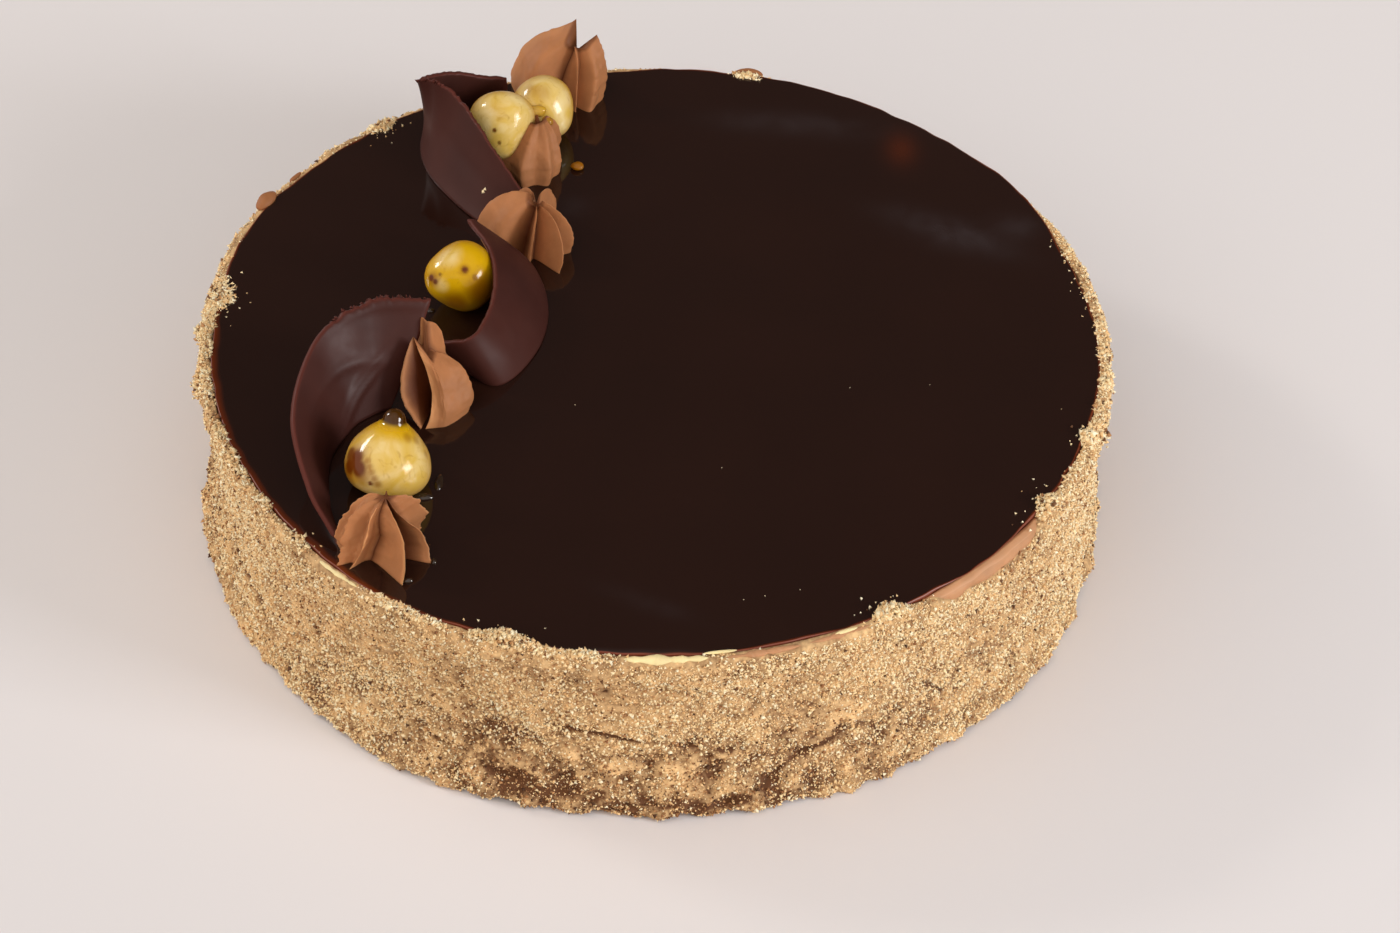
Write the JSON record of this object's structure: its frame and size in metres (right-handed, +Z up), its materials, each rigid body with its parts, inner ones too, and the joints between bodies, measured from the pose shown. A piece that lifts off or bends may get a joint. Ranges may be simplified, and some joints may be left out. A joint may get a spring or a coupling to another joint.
{
  "type": "mocha cake",
  "caption": "Round mocha cake with a dark mirror glaze, a crumb-coated side, and a curved row of piped cream stars, caramel hazelnuts and chocolate curls on top.",
  "frame": {"origin": "middle of the flat underside, where the cake stands", "axes": "+Z up, +X to the right and +Y away from the viewer of the picture, who sees the front"},
  "size_m": [0.2127, 0.213, 0.0663],
  "materials": {
    "crumb": "dry crumb",
    "mocha_cream": "soft satin",
    "dark_glaze": "mirror gloss",
    "caramel_nut": "clear gloss",
    "chocolate": "satin"
  },
  "bodies": {
    "root": {"cake_body": "crumb", "cream_layer": "mocha_cream", "glaze": "dark_glaze", "rosette_1": "mocha_cream", "rosette_2": "mocha_cream", "rosette_3": "mocha_cream", "rosette_4": "mocha_cream", "rosette_5": "mocha_cream", "nut_1": "caramel_nut", "nut_2": "caramel_nut", "nut_3": "caramel_nut", "nut_4": "caramel_nut", "curl_1": "chocolate", "curl_2": "chocolate", "curl_3": "chocolate"}
  },
  "joints": []
}
